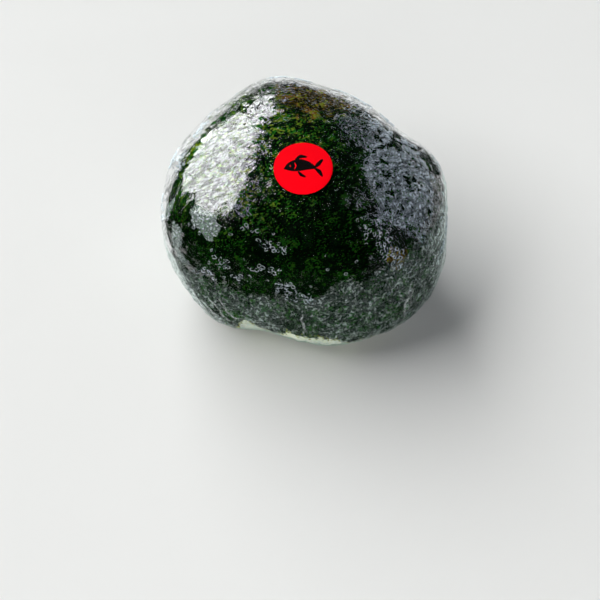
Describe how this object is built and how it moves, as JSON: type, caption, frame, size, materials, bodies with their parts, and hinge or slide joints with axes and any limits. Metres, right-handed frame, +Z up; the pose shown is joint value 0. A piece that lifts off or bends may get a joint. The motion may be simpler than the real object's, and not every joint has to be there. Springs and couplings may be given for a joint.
{
  "type": "onigiri rice ball",
  "caption": "Hand-formed rice ball of rounded-triangle plan, wrapped in dark seaweed and clear cling film, with a round red label on its crown; it rests on its flattened underside.",
  "frame": {"origin": "on the surface the ball rests on, under the middle of its plan", "axes": "+Z up through the crown, +X towards the ball's right side, -Y towards the front where the seaweed ends highest"},
  "size_m": [0.0798, 0.074, 0.0512],
  "materials": {
    "rice": "moist cooked white rice, soft sheen on each grain",
    "nori": "moist roasted seaweed, mottled dark green with olive and brown flecks",
    "film": "clear cling film drawn tight, finely crinkled, glossy",
    "label": "bright red coated sticker with a plain black brush mark"
  },
  "bodies": {
    "root": {"rice": "rice", "nori": "nori", "film": "film", "label": "label"}
  },
  "joints": []
}
